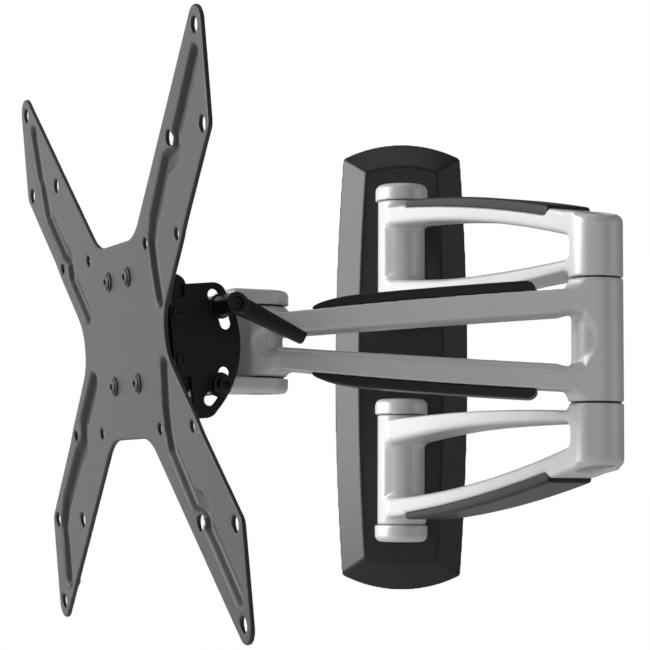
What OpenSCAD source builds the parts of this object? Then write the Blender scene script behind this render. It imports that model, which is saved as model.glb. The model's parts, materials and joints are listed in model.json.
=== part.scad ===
// Full motion screen mount: a wall base, two rear arms, one front arm, and a swivelling,
// tilting head that carries an X-shaped screen plate.
// X runs along the wall, Y into the wall and Z up. The origin is at the wall plate's back.

/* [Pose] */
// Direction of the rear arms, counted from +X
rear_turn = -62; // [-90:1:-40]
// Direction of the front arm, counted from +X
front_turn = 174; // [165:1:190]
// Direction that the screen faces, counted from +X
head_turn = 205.3; // [195:0.1:215]
// How far the screen looks down
tilt_down = 5.5; // [-2:0.5:16]

/* [Hinges] */
// Distance of the wall hinge from the wall
hinge_out = 34; // [32:0.5:40]
// Rear arms, hinge to hinge
rear_len = 231.5; // [210:0.5:260]
// Front arm, hinge to hinge
front_len = 191.5; // [180:0.5:200]
// Radius of the round hinge barrels
barrel_r = 15.3; // [15:0.1:16]
// Radius of the round ends of the brackets
cap_r = 17; // [16.5:0.1:18]
// Radius of the hinge pins
pin_r = 6; // [5:0.5:6.5]
// Thickness of the plastic washers between barrels
washer_t = 0.7; // [0.5:0.1:0.7]

/* [Wall base] */
// Half width of the wall cover at mid height
cover_half_w = 44.7; // [42:0.1:48]
// Half height of the wall cover
cover_half_h = 148.7; // [146:0.1:155]
// Depth of the wall cover
cover_d = 14; // [13:0.5:16]
// Wall of the wall cover
cover_wall = 2; // [1.5:0.5:2.5]
// Thickness of the wall plate
wall_plate_t = 3; // [2.5:0.5:4]
// Half spacing of the wall screw holes, up and down
wall_hole_z = 127; // [125:1:128]
// Half spacing of the wall screw holes, side to side
wall_hole_x = 22; // [18:1:24]
// Radius of the wall screw holes
wall_hole_r = 4; // [3:0.5:4.5]

/* [Arms] */
// Half thickness of the arm castings
arm_half_t = 14.9; // [13:0.1:15]
// Height of the elbow's two ends above and below its middle, on its axis
elbow_end = 72; // [71:0.5:73]

/* [Tilt head] */
// Distance of the tilt axis in front of the head hinge
tilt_x = 77; // [74:1:80]
// Height of the tilt axis
tilt_z = -4.5; // [-6:0.5:0]
// Radius of the arc slots
slot_r = 48; // [46:0.5:49]
// Angle of the tilt bolts above and below the tilt axis
bolt_angle = 27; // [26:0.5:28]
// Furthest upward tilt
tilt_up_max = 3; // [2:1:4]
// Furthest downward tilt
tilt_down_max = 17; // [12:1:18]

/* [Screen plate] */
// Thickness of the screen plate
sheet_t = 2.5; // [2:0.5:3]
// Radius of the outer screen holes
hole_big_r = 4.2; // [4:0.1:4.4]
// Radius of the inner screen holes
hole_small_r = 3.1; // [2.5:0.1:3.3]

/* [Hidden] */

$fn = 64;
silver = [0.75, 0.75, 0.76];
black = [0.1, 0.1, 0.11];
charcoal = [0.3, 0.31, 0.32];
steel = [0.55, 0.56, 0.58];

gap = 0.8;             // between the end faces of neighbouring barrels
run = 0.05;            // running clearance on a pin
over = 1;              // how far a cutter passes the face that it cuts
bush_r = 8;
bush_h = 16;
core_r = 14;           // round core left standing in the ends of an arm's window
steps = 16;            // steps along a curved edge

wall_in = 34.7;        // inner and outer end of the rear arms' wall barrels
wall_out = 104.4;
cap_in = 23.8;         // inner and outer end of the wall brackets
cap_out = 116;
elbow_half = 34.4;     // half height of the front arm's elbow barrel
elbow_in = elbow_half + gap;
head_half = 20.1;      // half height of the front arm's head barrel
head_cap = 29.5;       // half height of the swivel bracket

pin_head_r = 8;
pin_head_h = 2.5;
elbow_head_r = 9.5;    // head of the elbow pin, and its nut
elbow_head_h = 5;
recess_r = 11;         // round recess that hides it
recess_floor = 64;     // height of the recess's floor
end_slope = 0.2;       // fall of the elbow's end faces along the arm

elbow = [rear_len * cos(rear_turn), -hinge_out + rear_len * sin(rear_turn), 0];
head = elbow + front_len * [cos(front_turn), sin(front_turn), 0];

module at_hinge() { translate([0, -hinge_out, 0]) children(); }
module at_rear() { at_hinge() rotate([0, 0, rear_turn]) children(); }
module at_front() { translate(elbow) rotate([0, 0, front_turn]) children(); }
// In the head's own frame X points at the screen and Y at the clamp lever.
module at_head() { translate(head) rotate([0, 0, head_turn]) children(); }
// The tilting parts are drawn about the tilt axis, X towards the screen.
module at_tilt() { at_head() translate([tilt_x, 0, tilt_z]) rotate([0, tilt_down, 0]) children(); }

// A value that goes from a to b as u goes from 0 to 1, and bows out by c halfway.
function bowed(u, a, b, c) = a + (b - a) * u + 4 * c * u * (1 - u);
// Points round an arc.
function arc(c, r, from, to, n = 8) =
    [for (i = [0:n]) let (w = from + (to - from) * i / n) c + r * [cos(w), sin(w)]];
function flip(p) = [for (i = [len(p) - 1:-1:0]) p[i]];

// Draws an X-Z outline as a slab of half thickness half_t about Y = 0.
module slab(half_t) {
    rotate([90, 0, 0]) translate([0, 0, -half_t]) linear_extrude(2 * half_t) children();
}
module ring(r_out, r_in, h) {
    difference() {
        cylinder(r = r_out, h = h);
        translate([0, 0, -over]) cylinder(r = r_in, h = h + 2 * over);
    }
}
// A cylinder with its top edge rounded over.
module rounded(r, h, round) {
    rotate_extrude() polygon(concat([[0, 0], [r, 0]], arc([r - round, h - round], round, 0, 90, 6),
        [[0, h]]));
}
// Mirrors its children to the lower side when side is -1.
module on_side(side) {
    if (side > 0) children();
    else mirror([0, 0, 1]) children();
}

// ---- Wall base ----

side_drop = 5;                       // how much narrower the cover is at its corners
corner_z = 138.9;                    // height of the cover's corners
side_r = (corner_z * corner_z + side_drop * side_drop) / (2 * side_drop);
corner_x = cover_half_w - side_drop;
end_rise = cover_half_h - corner_z;
end_r = (corner_x * corner_x + end_rise * end_rise) / (2 * end_rise);
bevel = 17;                          // slope of the cover, measured along the wall

// The cover's solid form: two sides and two ends, each part of a large cone.
module cover_form(inset, depth, slope) {
    side = side_r - inset;
    end = end_r - inset;
    end_y = cover_half_h - end_r;
    rotate([90, 0, 0]) intersection() {
        translate([cover_half_w - side_r, 0, 0])
            cylinder(r1 = side, r2 = side - slope, h = depth, $fn = 720);
        translate([side_r - cover_half_w, 0, 0])
            cylinder(r1 = side, r2 = side - slope, h = depth, $fn = 720);
        union() {
            for (s = [-1, 1]) translate([0, s * end_y, 0])
                cylinder(r1 = end, r2 = end - slope, h = depth, $fn = 180);
            translate([-cover_half_w, -end_y, 0]) cube([2 * cover_half_w, 2 * end_y, depth]);
        }
    }
}

bracket_half_w = 12;                 // half width of the necks that pass through the cover
bracket_base_t = 5;                  // base of a wall bracket, behind the cover
bracket_screw_r = 2.5;
plate_inset = 7;                     // from the cover's outline to the wall plate's edge
cap_round = 4.5;                     // rounding of a wall bracket's round ends

module wall_plate() {
    color(steel) difference() {
        cover_form(plate_inset, wall_plate_t, 0);
        for (x = [-1, 1], z = [-1, 1]) translate([x * wall_hole_x, over, z * wall_hole_z])
            rotate([90, 0, 0]) cylinder(r = wall_hole_r, h = wall_plate_t + 2 * over);
        for (side = [-1, 1]) bracket_screw_places(side) {
            translate([0, over, 0]) rotate([90, 0, 0])
                cylinder(r = bracket_screw_r, h = wall_plate_t + 2 * over);
            rotate([90, 0, 0]) cylinder(r1 = 2 * bracket_screw_r, r2 = bracket_screw_r, h = bracket_screw_r);
        }
    }
}

module wall_cover() {
    inner_d = cover_d - cover_wall;
    slot_w = bracket_half_w + 0.5;
    color(black) difference() {
        cover_form(0, cover_d, bevel);
        translate([0, over, 0]) cover_form(cover_wall, inner_d + over, bevel * inner_d / cover_d);
        for (side = [-1, 1]) on_side(side) for (zs = neck_spans)
            translate([-slot_w, -cover_d - over, zs[0] - 0.5])
                cube([2 * slot_w, cover_wall + 2 * over, zs[1] - zs[0] + 1]);
    }
}

neck_spans = [[cap_in + 1.5, wall_in - gap], [wall_out + gap, cap_out - 1.5]];

// Screws from behind the wall plate into a bracket's base.
module bracket_screw_places(side) {
    for (x = [-1, 1], z = [48, 90]) translate([x * 9, 0, side * z]) children();
}

// One casting: two round ends on necks that join behind the cover.
module wall_bracket() {
    cap_h = cap_out - wall_out - gap;
    difference() {
        union() {
            translate([-15, -wall_plate_t - bracket_base_t, cap_in - 1])
                cube([30, bracket_base_t, cap_out - cap_in + 2]);
            for (zs = neck_spans) translate([-bracket_half_w, -hinge_out, zs[0]])
                cube([2 * bracket_half_w, hinge_out - wall_plate_t - 1, zs[1] - zs[0]]);
            at_hinge() translate([0, 0, wall_out + gap]) rounded(cap_r, cap_h, cap_round);
            at_hinge() translate([0, 0, wall_in - gap]) mirror([0, 0, 1])
                rounded(cap_r, wall_in - gap - cap_in, cap_round);
        }
        at_hinge() translate([0, 0, cap_in - over])
            cylinder(r = pin_r + run, h = wall_out + gap + 6 - cap_in + over);
        at_hinge() translate([0, 0, cap_in - over])
            cylinder(r = pin_head_r + run, h = pin_head_h + 0.5 + over);
        bracket_screw_places(1) rotate([90, 0, 0])
            cylinder(r = bracket_screw_r + run, h = wall_plate_t + bracket_base_t + over);
    }
}
module upper_wall_bracket() { color(silver) wall_bracket(); }
module lower_wall_bracket() { color(silver) on_side(-1) wall_bracket(); }

module bracket_screws() {
    color(steel) for (side = [-1, 1]) bracket_screw_places(side) translate([0, -0.1, 0])
        rotate([90, 0, 0]) {
            cylinder(r = bracket_screw_r - run, h = wall_plate_t + bracket_base_t - 1);
            cylinder(r1 = 2 * bracket_screw_r - 0.2, r2 = bracket_screw_r - run, h = bracket_screw_r - 0.1);
        }
}

// A hinge pin with a low head, pushed in from the bracket's inner end.
module wall_pin() {
    at_hinge() translate([0, 0, cap_in + 0.4]) {
        cylinder(r = pin_head_r - 0.3, h = pin_head_h);
        cylinder(r = pin_r, h = wall_out + gap + 5 - cap_in);
    }
}
module upper_wall_pin() { color(steel) wall_pin(); }
module lower_wall_pin() { color(steel) on_side(-1) wall_pin(); }

module wall_washers() {
    color(black) for (side = [-1, 1], z = [wall_in - gap + run, wall_out + run]) at_hinge()
        on_side(side) translate([0, 0, z]) ring(core_r + 0.4, pin_r + run, washer_t);
}

// ---- Rear arms ----

outer_edge = [100.5, elbow_end - 0.3, 4.4];     // height at the wall, at the elbow, and bow of each edge
inner_edge = [38.2, 39.6, -3];
window_outer = [88.5, 57.4, 5.9];
window_inner = [54, 46.5, -4.8];
window_end = 226;
elbow_core_r = 10;                   // the thinner core at the elbow end of the window
strip_from = 32;                     // rear cover, from and to along the arm
strip_to = 204;
strip_t = [2.9, 1.4, 1.3];           // thickness above the arm's own edge: ends and bow

function rear_edge(e, from, to, lift = 0) = [for (i = [0:steps])
    let (s = from + (to - from) * i / steps) [s, bowed(s / rear_len, e[0], e[1], e[2]) + lift]];

// The arm's outer edge below the rear cover, sunk below the edge that the arm has beyond it.
function recessed_edge(from, to, lift = 0) = [for (p = rear_edge(outer_edge, from, to, lift))
    [p[0], p[1] - 0.8 - 3.9 * p[0] / rear_len]];

// One casting, drawn as the upper arm. Its long window leaves the round core of each barrel,
// and its outer edge is recessed for the cover.
module rear_arm() {
    difference() {
        union() {
            difference() {
                union() {
                    slab(arm_half_t) polygon(concat([[0, outer_edge[0]]],
                        rear_edge(outer_edge, strip_from - 4, strip_from - 1),
                        recessed_edge(strip_from, strip_to),
                        rear_edge(outer_edge, strip_to + 1, rear_len),
                        flip(rear_edge(inner_edge, 0, rear_len))));
                    translate([0, 0, wall_in]) cylinder(r = barrel_r, h = wall_out - wall_in);
                    translate([rear_len, 0, elbow_in]) cylinder(r = barrel_r, h = elbow_end);
                }
                slab(barrel_r + over) polygon(concat(rear_edge(window_outer, 1, window_end),
                    flip(rear_edge(window_inner, 1, window_end))));
                elbow_end_cut();
            }
            translate([0, 0, wall_in + 2]) cylinder(r = core_r, h = wall_out - wall_in - 4);
            translate([rear_len, 0, elbow_in + 2])
                cylinder(r = elbow_core_r, h = recess_floor - elbow_in - 2);
        }
        translate([0, 0, wall_in - over]) cylinder(r = pin_r + 0.5, h = wall_out - wall_in + 2 * over);
        for (z = [wall_in - over, wall_out - bush_h])
            translate([0, 0, z]) cylinder(r = bush_r, h = bush_h + over);
        translate([rear_len, 0, elbow_in - over]) cylinder(r = pin_r + run, h = elbow_end);
        translate([rear_len, 0, recess_floor]) cylinder(r = recess_r, h = elbow_end);
    }
}
// Everything beyond the sloping end face of the elbow.
module elbow_end_cut() {
    reach = barrel_r + 3;
    slab(reach) polygon([[rear_len - reach, elbow_end + end_slope * reach],
        [rear_len + reach, elbow_end - end_slope * reach],
        [rear_len + reach, 2 * elbow_end], [rear_len - reach, 2 * elbow_end]]);
}
module upper_rear_arm() { color(silver) at_rear() rear_arm(); }
module lower_rear_arm() { color(silver) at_rear() on_side(-1) rear_arm(); }

// Clip-on strip that hides the cable channel along the outer edge of a rear arm.
module rear_cover() {
    top = [for (p = rear_edge(outer_edge, strip_from, strip_to))
        [p[0], p[1] + bowed(p[0] / rear_len, strip_t[0], strip_t[1], strip_t[2])]];
    slab(arm_half_t - 0.1) polygon(concat(top, flip(recessed_edge(strip_from + 0.1, strip_to, 0.1))));
}
module upper_rear_cover() { color(black) at_rear() rear_cover(); }
module lower_rear_cover() { color(black) at_rear() on_side(-1) rear_cover(); }

module wall_bushes() {
    color(black) at_hinge() for (side = [-1, 1], z = [wall_in + run, wall_out - bush_h + run])
        on_side(side) translate([0, 0, z]) ring(bush_r - run, pin_r + run, bush_h - 2 * run);
}

elbow_pin_low = -recess_floor - elbow_head_h;

module elbow_pin() {
    color(steel) translate([elbow[0], elbow[1], elbow_pin_low]) {
        difference() {
            cylinder(r = elbow_head_r, h = elbow_head_h - 0.1);
            translate([0, 0, -over]) cylinder(r = 4, h = 4, $fn = 6);
        }
        translate([0, 0, elbow_head_h - 1]) cylinder(r = pin_r, h = 2 * recess_floor + elbow_head_h);
    }
}
module elbow_nut() {
    color(steel) translate([elbow[0], elbow[1], recess_floor + 0.1]) difference() {
        cylinder(r = elbow_head_r, h = elbow_head_h, $fn = 6);
        translate([0, 0, -over]) cylinder(r = pin_r + run, h = elbow_head_h + 2 * over);
    }
}
module elbow_washers() {
    color(black) translate(elbow) for (side = [-1, 1])
        on_side(side) translate([0, 0, elbow_half + run]) ring(core_r, pin_r + run, washer_t);
}

// ---- Front arm ----

front_edge = [29, 14.5, 1.55];
front_window = [14.6, 2.2, 0.45];
front_window_end = 176;
scoop_r = 15;                        // round end of the window at the elbow
scoop_x = 14;
head_scoop_r = 5.4;                  // round end of the window at the head
head_scoop_x = 183.5;
pad_from = 33;
pad_to = 159;
pad_t = 5.8;
pad_near = 6;                        // length of the rounded tip at the elbow, and at the head
pad_far = 30;

function front_curve(e, from, to, lift = 0) = [for (i = [0:steps])
    let (s = from + (to - from) * i / steps) [s, bowed(s / front_len, e[0], e[1], e[2]) + lift]];
function upside_down(p) = [for (q = flip(p)) [q[0], -q[1]]];

module front_arm() {
    outline = front_curve(front_edge, 0, front_len);
    window = front_curve(front_window, 8, front_window_end);
    color(silver) at_front() difference() {
        union() {
            difference() {
                union() {
                    slab(arm_half_t) polygon(concat(outline, upside_down(outline)));
                    translate([0, 0, -elbow_half]) cylinder(r = barrel_r, h = 2 * elbow_half);
                    translate([front_len, 0, -head_half]) cylinder(r = barrel_r, h = 2 * head_half);
                }
                slab(barrel_r + over) polygon(concat(window, upside_down(window)));
                translate([scoop_x, 0, 0]) rotate([90, 0, 0])
                    cylinder(r = scoop_r, h = 2 * (barrel_r + over), center = true);
                translate([head_scoop_x, 0, 0]) rotate([90, 0, 0])
                    cylinder(r = head_scoop_r, h = 2 * (barrel_r + over), center = true);
            }
            translate([0, 0, -elbow_half + 2]) cylinder(r = core_r, h = 2 * elbow_half - 4);
            translate([front_len, 0, -head_half + 2]) cylinder(r = core_r, h = 2 * head_half - 4);
        }
        translate([0, 0, -elbow_half - over]) cylinder(r = bush_r, h = 2 * (elbow_half + over));
        translate([front_len, 0, -head_half - over]) cylinder(r = bush_r, h = 2 * (head_half + over));
    }
}

// Height of a rounded tip of a given length, as a part of the full height.
function tip(d, len) = d >= len ? 1 : sqrt(1 - pow(1 - max(0, d) / len, 2));

// Clip that holds cables along the front arm, rounded down to a tip at each end.
module front_cover() {
    half_w = 13.5;
    places = concat([for (i = [0:5]) pad_from + pad_near * pow(i / 5, 2)],
        [for (i = [1:10]) pad_from + pad_near + (pad_to - pad_from - pad_near - pad_far) * i / 10],
        [for (i = [1:7]) pad_to - pad_far * pow(1 - i / 7, 2)]);
    bottom = [for (s = places)
        [s, bowed(s / front_len, front_edge[0], front_edge[1], front_edge[2]) + 0.1]];
    top = [for (p = bottom) [p[0], p[1] + 0.4
        + (pad_t - 0.4) * tip(p[0] - pad_from, pad_near) * tip(pad_to - p[0], pad_far)]];
    slab(half_w) polygon(concat(top, flip(bottom)));
}
module upper_front_cover() { color(black) at_front() front_cover(); }
module lower_front_cover() { color(black) at_front() on_side(-1) front_cover(); }

module elbow_bushes() {
    color(black) translate(elbow) for (side = [-1, 1])
        on_side(side) translate([0, 0, elbow_half - bush_h - run]) ring(bush_r - run, pin_r + run, bush_h);
}
module head_bushes() {
    h = head_half - 4;
    color(black) translate(head) for (side = [-1, 1])
        on_side(side) translate([0, 0, head_half - h - run]) ring(bush_r - run, pin_r + run, h);
}

// ---- Swivel head ----

bolt_r = 3;
boss_r = 6.5;
boss_half = 24.4;                    // half length of the bosses that carry the tilt bolts
plate_in = 25;                       // inner face of a slot plate
slot_plate_t = 3;
plate_out = plate_in + slot_plate_t;
tilt_washer_r = 7;
tilt_washer_t = 1.2;
washer_at = plate_out + 0.3;
nut_r = 5.5;
nut_h = 5;

// Places its children on the axis of a tilt bolt: up is 1 for the upper bolt, -1 for the lower.
module at_bolt(up) {
    at_head() translate([tilt_x - slot_r * cos(bolt_angle), 0, tilt_z + up * slot_r * sin(bolt_angle)])
        rotate([-90, 0, 0]) children();
}

// C-shaped casting: round ends on the head hinge, and a web in front that carries two bosses.
module swivel_bracket() {
    head_gap = head_half + gap;
    web_in = 30;
    web_out = 38.5;
    web_half = 12;
    high = tilt_z + slot_r * sin(bolt_angle);
    low = tilt_z - slot_r * sin(bolt_angle);
    color(silver) difference() {
        union() {
            for (side = [-1, 1]) at_head() on_side(side) translate([0, 0, head_gap]) {
                rounded(cap_r, head_cap - head_gap, 2);
                translate([0, -cap_r, 0]) cube([22, 2 * cap_r, head_cap - head_gap - 1]);
            }
            at_head() slab(web_half) polygon([[8, head_cap], [19, head_cap], [web_in - 5, high + 7],
                [web_out - 3, high + 6], [web_out, high], [web_out, low - 1], [web_out - 4, low - 5],
                [19, -head_cap], [8, -head_cap], [8, -head_gap], [web_in - 2, -head_gap],
                [web_in, -head_gap + 3], [web_in, high - 5.5], [web_in - 3, high - 3],
                [18, head_gap], [8, head_gap]]);
            for (up = [-1, 1]) at_bolt(up) cylinder(r = boss_r, h = 2 * boss_half, center = true);
        }
        for (up = [-1, 1]) at_bolt(up)
            cylinder(r = bolt_r + run, h = 2 * (boss_half + over), center = true);
        at_head() translate([0, 0, -head_cap - over]) cylinder(r = pin_r + run, h = 2 * head_cap);
        at_head() translate([0, 0, -head_cap - over]) cylinder(r = pin_head_r + run, h = pin_head_h + over);
    }
}

module head_pin() {
    color(steel) translate([head[0], head[1], -head_cap + 0.2]) {
        cylinder(r = pin_head_r - 0.3, h = pin_head_h - 0.3);
        cylinder(r = pin_r, h = 2 * head_cap - 3);
    }
}
module head_washers() {
    color(black) translate(head) for (side = [-1, 1])
        on_side(side) translate([0, 0, head_half + run]) ring(core_r + 0.4, pin_r + run, washer_t);
}

far_end = -washer_at - tilt_washer_t;    // outer face of a washer on the far side
bolt_end = far_end - nut_h - 1.5;
near_end = washer_at + tilt_washer_t;

module lower_tilt_bolt() {
    color(black) at_bolt(-1) {
        translate([0, 0, bolt_end]) cylinder(r = bolt_r, h = near_end - bolt_end);
        translate([0, 0, near_end]) cylinder(r = 5.4, h = 4);
        translate([0, 0, near_end + 4]) difference() {
            cylinder(r = 3.9, h = 5);
            translate([0, 0, 2]) cylinder(r = 2.3, h = 5, $fn = 6);
        }
    }
}
lever_at = near_end + 0.2;
hub_r = 6;
hub_h = 55 - lever_at;
lever_len = 44.5;
lever_t = 7;
lever_drop = 24;                     // angle of the lever below the level

module clamp_bolt() {
    color(black) at_bolt(1) translate([0, 0, bolt_end])
        cylinder(r = bolt_r, h = lever_at + 14 - bolt_end);
}
module tilt_washers() {
    color(black) for (up = [-1, 1], z = [washer_at, far_end])
        at_bolt(up) translate([0, 0, z]) ring(tilt_washer_r, bolt_r + run, tilt_washer_t);
}
module tilt_nuts() {
    color(black) for (up = [-1, 1]) at_bolt(up) translate([0, 0, far_end - nut_h]) difference() {
        cylinder(r = nut_r, h = nut_h, $fn = 6);
        translate([0, 0, -over]) cylinder(r = bolt_r + run, h = nut_h + 2 * over);
    }
}

// ---- Clamp lever ----

module clamp_lever() {
    wide = 5.2;
    narrow = 3.3;
    color(black) at_bolt(1) difference() {
        union() {
            translate([0, 0, lever_at]) cylinder(r = hub_r, h = hub_h);
            translate([0, 0, lever_at + hub_h - lever_t]) rotate([0, 0, 180 - lever_drop])
                linear_extrude(lever_t - 0.5) polygon([[0, -wide], [lever_len, -narrow],
                    [lever_len, narrow], [0, wide]]);
        }
        translate([0, 0, lever_at - over]) cylinder(r = bolt_r + run, h = 15 + over);
        translate([0, 0, lever_at + hub_h - 3]) cylinder(r = 3.6, h = 3 + over);
        translate([0, 0, lever_at]) cylinder(r = 1.6, h = hub_h);
    }
}
module lever_screw() {
    color(black) at_bolt(1) translate([0, 0, lever_at + hub_h - 3]) difference() {
        union() {
            cylinder(r = 3.4, h = 2.4);
            translate([0, 0, -3]) cylinder(r = 1.5, h = 4);
        }
        for (w = [0, 90]) rotate([0, 0, w]) translate([-2, -0.4, 1.2]) cube([4, 0.8, 2]);
    }
}

// ---- Tilting parts ----

sheet_front = 4.3;                   // front face of the screen plate, from the tilt axis
sheet_up = 2.6;                      // centre of the screen plate above the tilt axis
sheet_back = sheet_front - sheet_t;
edge_r = 55.3;                       // round edge of a slot plate
slot_half = 3.3;
channel_t = 3;                       // thickness of the channel behind the screen plate

// Slot along the bolt circle, from one angle to the other, cut through along Y.
module arc_slot(from, to) {
    mid = (from + to) / 2;
    rotate([90, 0, 0]) translate([0, 0, -plate_out - over]) {
        linear_extrude(2 * (plate_out + over)) polygon(concat(
            arc([0, 0], slot_r + slot_half, 180 - from, 180 - to, 14),
            arc([0, 0], slot_r - slot_half, 180 - to, 180 - from, 14)));
        for (w = [from, to]) rotate([0, 0, 180 - w]) translate([slot_r, 0, 0])
            cylinder(r = slot_half, h = 2 * (plate_out + over));
    }
}

module slot_plate(side) {
    top = 31.3;
    bottom = -43.5;
    corner_r = 8;
    color(black) at_tilt() difference() {
        translate([0, side * (plate_in + slot_plate_t / 2), 0]) slab(slot_plate_t / 2) polygon(concat(
            [[-24, top]], arc([-41.4, top - corner_r], corner_r, 90, 150.6, 5),
            arc([0, 0], edge_r, 152, 226, 20), arc([-31.6, bottom + corner_r], corner_r, 228.3, 270, 5),
            [[-24, bottom], [-24, -20], [-15, -20], [-15, 24], [-24, 24]]));
        arc_slot(bolt_angle - tilt_down_max - 0.5, bolt_angle + tilt_up_max + 0.5);
        arc_slot(-bolt_angle - tilt_down_max - 0.5, -bolt_angle + tilt_up_max + 0.5);
        channel_screw_places() rotate([90, 0, 0]) cylinder(r = 2.1, h = 2 * plate_out + 4, center = true);
    }
}
module near_slot_plate() { slot_plate(1); }
module far_slot_plate() { slot_plate(-1); }

module channel_screw_places() {
    for (z = [15.5, -11]) translate([-19.5, 0, z]) children();
}

// U-shaped channel behind the screen plate, with the slot plates on its sides.
module screen_channel() {
    wall = channel_t;
    web_top = 46;
    web_bottom = -31;
    color(black) at_tilt() difference() {
        union() {
            translate([sheet_back - wall, -plate_in, web_bottom])
                cube([wall, 2 * plate_in, web_top - web_bottom]);
            for (side = [-1, 1]) translate([0, side * (plate_in - wall / 2), 0]) slab(wall / 2)
                polygon(concat(arc([-20, 30.5], 7, 180, 100, 6), [[-6, 42], [sheet_back - wall, web_top],
                    [sheet_back - wall, web_bottom], [-20, web_bottom], [-27, web_bottom + 6]]));
        }
        channel_screw_places() rotate([90, 0, 0]) cylinder(r = 2.1, h = 2 * plate_out, center = true);
        plate_screw_places() rotate([0, 90, 0]) cylinder(r = 3.1, h = 20, center = true);
    }
}

// Screws and their nuts on both sides of the channel.
module channel_screws() {
    head_h = 1.8;
    color(black) at_tilt() channel_screw_places() for (side = [-1, 1])
        rotate([side * -90, 0, 0]) {
            translate([0, 0, plate_out]) cylinder(r1 = 3.4, r2 = 2.6, h = head_h);
            translate([0, 0, plate_in - 7.2]) cylinder(r = 2, h = slot_plate_t + 7.2);
            translate([0, 0, plate_in - 6.4]) ring(3.6, 2, 3.2);
        }
}

module plate_screw_places() {
    for (side = [-1, 1]) {
        translate([0, side * 16.5, sheet_up + 35]) children();
        translate([0, side * 20, sheet_up - 24]) children();
    }
}

// A quarter of the X-shaped outline, from its top notch round the tip to its waist.
tip_at = [150.7, 150.7];
tip_r = 9.4;
quarter = concat([[0, 54.6]], arc([20.3, 84.6], 30, -90, -48), arc(tip_at, tip_r, 132, 0),
    arc([153.6, 100.5], 6, 0, -45, 4), [[113.5, 54.5], [105.5, 45.5]], arc([94.5, 0], 25, 135, 180));
last = len(quarter) - 1;
full_outline = concat(quarter,
    [for (i = [last - 1:-1:0]) [quarter[i][0], -quarter[i][1]]],
    [for (i = [1:last]) [-quarter[i][0], -quarter[i][1]]],
    [for (i = [last - 1:-1:1]) [-quarter[i][0], quarter[i][1]]]);
big_holes = [[150, 150], [150, 100], [100, 100]];
small_holes = [[100, 50], [50, 50]];

// The sheet is drawn flat, X sideways and Y up, and then stood up on the tilting parts.
module on_sheet() {
    at_tilt() translate([sheet_back, 0, sheet_up]) rotate([90, 0, 90]) children();
}

module screen_plate() {
    color(charcoal) on_sheet() difference() {
        linear_extrude(sheet_t) polygon(full_outline);
        for (x = [-1, 1], y = [-1, 1]) {
            for (p = big_holes) translate([x * p[0], y * p[1], -over])
                cylinder(r = hole_big_r, h = sheet_t + 2 * over);
            for (p = small_holes) translate([x * p[0], y * p[1], -over])
                cylinder(r = hole_small_r, h = sheet_t + 2 * over);
        }
        for (x = [-16.5, 16.5]) translate([x, 35, -over]) cylinder(r = 3.1, h = sheet_t + 2 * over);
        for (x = [-20, 20]) translate([x, -24, -over]) cylinder(r = 3.1, h = sheet_t + 2 * over);
    }
}

// Low-headed screws through the sheet into the channel's web.
module plate_screws() {
    shank_end = sheet_back - channel_t - 1.5;
    color(black) at_tilt() plate_screw_places() rotate([0, 90, 0]) {
        translate([0, 0, shank_end]) cylinder(r = 3, h = sheet_front - shank_end);
        translate([0, 0, sheet_front]) difference() {
            union() {
                cylinder(r = 5.6, h = 0.8);
                cylinder(r1 = 5.2, r2 = 3.6, h = 2.4);
            }
            translate([0, 0, 1]) cylinder(r = 1.9, h = 2, $fn = 6);
        }
    }
}

wall_plate();
wall_cover();
upper_wall_bracket();
lower_wall_bracket();
bracket_screws();
upper_wall_pin();
lower_wall_pin();
wall_washers();
upper_rear_arm();
lower_rear_arm();
upper_rear_cover();
lower_rear_cover();
wall_bushes();
elbow_pin();
elbow_nut();
elbow_washers();
front_arm();
upper_front_cover();
lower_front_cover();
elbow_bushes();
head_bushes();
swivel_bracket();
head_pin();
head_washers();
lower_tilt_bolt();
clamp_bolt();
tilt_washers();
tilt_nuts();
screen_channel();
near_slot_plate();
far_slot_plate();
channel_screws();
screen_plate();
plate_screws();
clamp_lever();
lever_screw();
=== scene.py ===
"""Visual model of a full motion screen wall mount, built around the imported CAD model.

The castings, the pressed plate, the covers and the small hardware are made as signed
distance fields in millimetres, in the frame of the part they belong to, and meshed.
"""
import json
import math

import bpy
import numpy as np
import openvdb
from mathutils import Matrix, Vector


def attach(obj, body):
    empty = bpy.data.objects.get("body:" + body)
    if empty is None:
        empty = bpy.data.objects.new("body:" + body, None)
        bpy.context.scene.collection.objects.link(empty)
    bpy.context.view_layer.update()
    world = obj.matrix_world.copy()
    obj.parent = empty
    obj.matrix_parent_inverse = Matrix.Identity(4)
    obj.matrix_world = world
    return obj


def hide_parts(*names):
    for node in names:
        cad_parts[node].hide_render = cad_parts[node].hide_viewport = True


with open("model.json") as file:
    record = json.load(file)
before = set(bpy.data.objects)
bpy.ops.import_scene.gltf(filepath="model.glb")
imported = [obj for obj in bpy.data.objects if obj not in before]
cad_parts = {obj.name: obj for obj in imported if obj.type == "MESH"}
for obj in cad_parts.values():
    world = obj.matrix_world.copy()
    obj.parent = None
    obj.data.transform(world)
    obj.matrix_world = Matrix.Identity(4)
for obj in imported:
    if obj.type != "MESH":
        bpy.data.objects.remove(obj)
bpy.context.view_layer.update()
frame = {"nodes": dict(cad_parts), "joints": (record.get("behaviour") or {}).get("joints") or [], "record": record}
JOINTS = {j["name"]: j for j in frame["joints"]}
MOUNTS = {m["name"]: m for m in frame["record"]["mounts"]}
BODY_OF = {n: b for b, ns in frame["record"]["behaviour"]["bodies"].items() for n in ns}
SLOT_OF = {s["node"]: s["material_slot"] for s in frame["record"]["subparts"]}
METRE = 1000.0  # millimetres in a metre

# ---- Frames of the moving parts, in millimetres ----

UP = Vector((0, 0, 1))


def joint_point(name):
    return Vector(JOINTS[name]["pos_m"]) * METRE


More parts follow.
